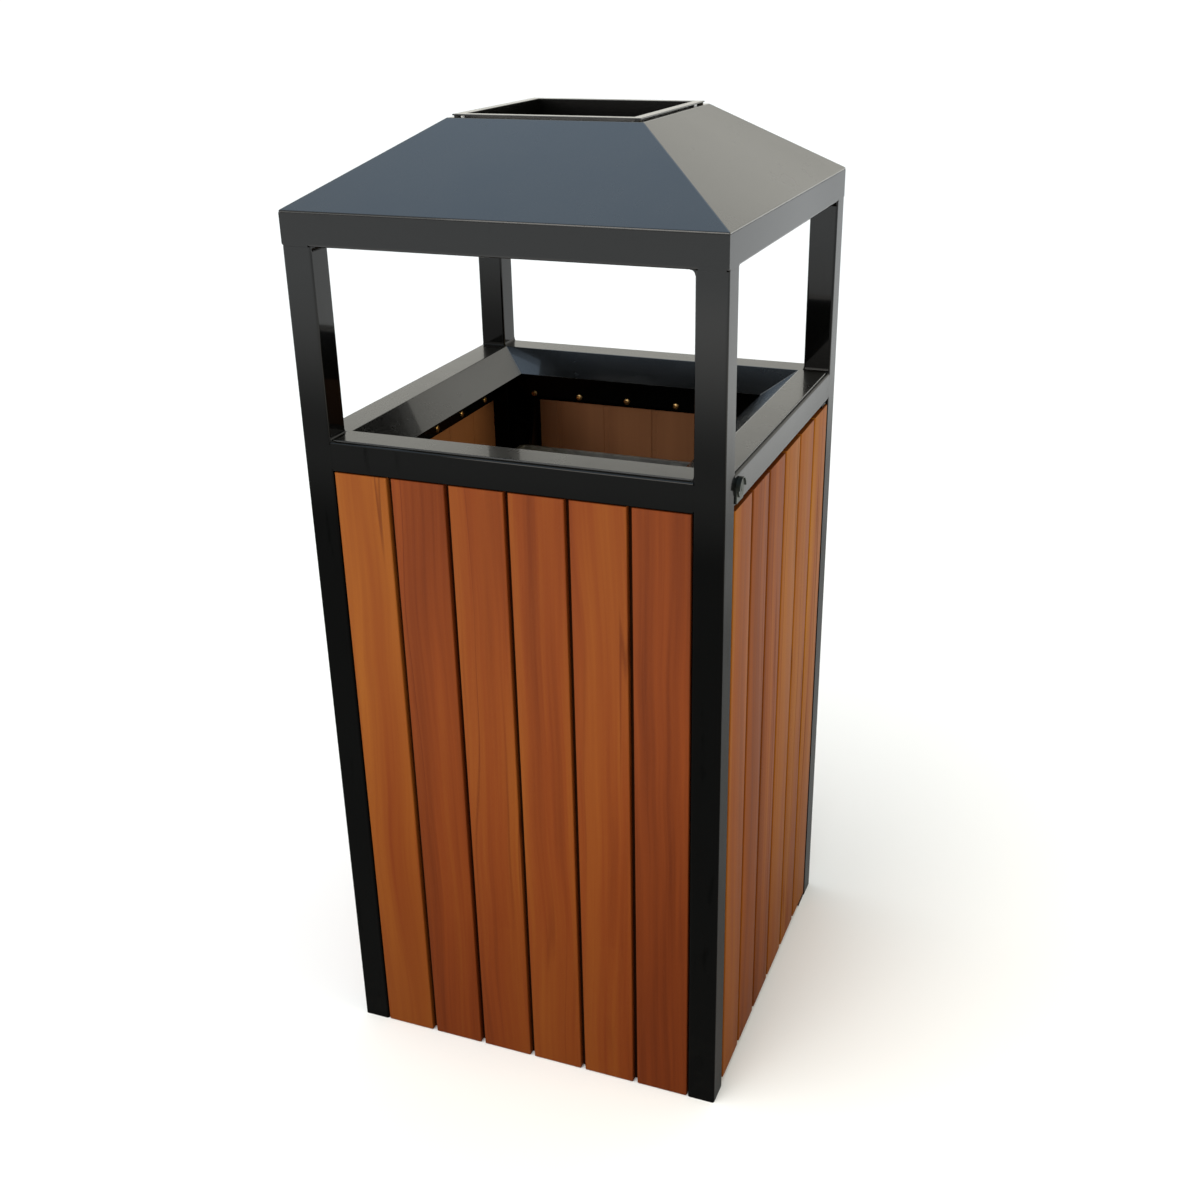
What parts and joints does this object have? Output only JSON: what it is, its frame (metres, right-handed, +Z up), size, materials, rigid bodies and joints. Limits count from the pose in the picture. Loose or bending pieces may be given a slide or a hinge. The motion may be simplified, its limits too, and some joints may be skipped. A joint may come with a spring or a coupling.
{
  "type": "litter bin",
  "caption": "Square outdoor litter bin: steel tube frame, timber slat walls, hipped roof with ash pan, open mouths on all sides, hinged slat door, lock and liner.",
  "frame": {"origin": "on the ground, at the middle of the square plan", "axes": "+Z up; the front wall faces -Y; the door and its lock are in the right wall, which faces +X"},
  "size_m": [0.4345, 0.43, 1],
  "materials": {
    "frame_paint": "semi-gloss black powder coat",
    "pan_paint": "satin black coat",
    "slat_timber": "smooth, stained orange brown",
    "liner_zinc": "galvanised sheet",
    "handle_zinc": "zinc plated wire",
    "lock_metal": "dull nickel plate",
    "screw_brass": "yellow zinc plate",
    "buffer_rubber": "matte"
  },
  "bodies": {
    "frame": {"ash_pan_buffers": "buffer_rubber", "back_slat_1": "slat_timber", "back_slat_2": "slat_timber", "back_slat_3": "slat_timber", "back_slat_4": "slat_timber", "back_slat_5": "slat_timber", "back_slat_6": "slat_timber", "bottom_rails": "frame_paint", "eave_beam_back": "frame_paint", "eave_beam_front": "frame_paint", "eave_beam_left": "frame_paint", "eave_beam_right": "frame_paint", "floor_pan": "frame_paint", "foot_plates": "frame_paint", "front_slat_1": "slat_timber", "front_slat_2": "slat_timber", "front_slat_3": "slat_timber", "front_slat_4": "slat_timber", "front_slat_5": "slat_timber", "front_slat_6": "slat_timber", "left_slat_1": "slat_timber", "left_slat_2": "slat_timber", "left_slat_3": "slat_timber", "left_slat_4": "slat_timber", "left_slat_5": "slat_timber", "left_slat_6": "slat_timber", "lock_barrel": "lock_metal", "lock_nut": "lock_metal", "lock_plate": "lock_metal", "lower_pivot_tab": "frame_paint", "mouth_funnel": "frame_paint", "post_back_left": "frame_paint", "post_back_right": "frame_paint", "post_front_left": "frame_paint", "post_front_right": "frame_paint", "roof_hood": "frame_paint", "slat_fixing_bars": "frame_paint", "slat_screws": "screw_brass", "top_rail_back": "frame_paint", "top_rail_front": "frame_paint", "top_rail_left": "frame_paint", "top_rail_right": "frame_paint"},
    "door": {"door_catch": "frame_paint", "door_frame": "frame_paint", "door_pivots": "frame_paint", "door_screws": "screw_brass", "door_slat_1": "slat_timber", "door_slat_2": "slat_timber", "door_slat_3": "slat_timber", "door_slat_4": "slat_timber", "door_slat_5": "slat_timber", "door_slat_6": "slat_timber"},
    "lock_cylinder": {"lock_plug": "lock_metal", "lock_cam": "lock_metal", "lock_cam_screw": "lock_metal"},
    "ash_pan": {"ash_pan": "pan_paint"},
    "liner": {"liner": "liner_zinc", "liner_handle_ears": "handle_zinc"},
    "left_handle": {"liner_handle_left": "handle_zinc"},
    "right_handle": {"liner_handle_right": "handle_zinc"}
  },
  "joints": [
    {"name": "door_hinge", "type": "hinge", "parent": "frame", "child": "door", "pos_m": [0.2085, 0.173, 0.34], "axis": [0, 0, 1], "range_deg": [0, 110]},
    {"name": "lock_turn", "type": "hinge", "parent": "frame", "child": "lock_cylinder", "pos_m": [0.2, -0.173, 0.692], "axis": [-1, 0, 0], "range_deg": [0, 90]},
    {"name": "ash_pan_lift", "type": "slide", "parent": "frame", "child": "ash_pan", "axis": [0, 0, 1], "range_m": [0, 0.1]},
    {"name": "liner_lift", "type": "slide", "parent": "frame", "child": "liner", "axis": [0, 0, 1], "range_m": [0, 0.05]},
    {"name": "left_handle_swing", "type": "hinge", "parent": "liner", "child": "left_handle", "pos_m": [-0.155, 0, 0.56], "axis": [0, 1, 0], "range_deg": [0, 170]},
    {"name": "right_handle_swing", "type": "hinge", "parent": "liner", "child": "right_handle", "pos_m": [0.155, 0, 0.56], "axis": [0, -1, 0], "range_deg": [0, 170]}
  ]
}
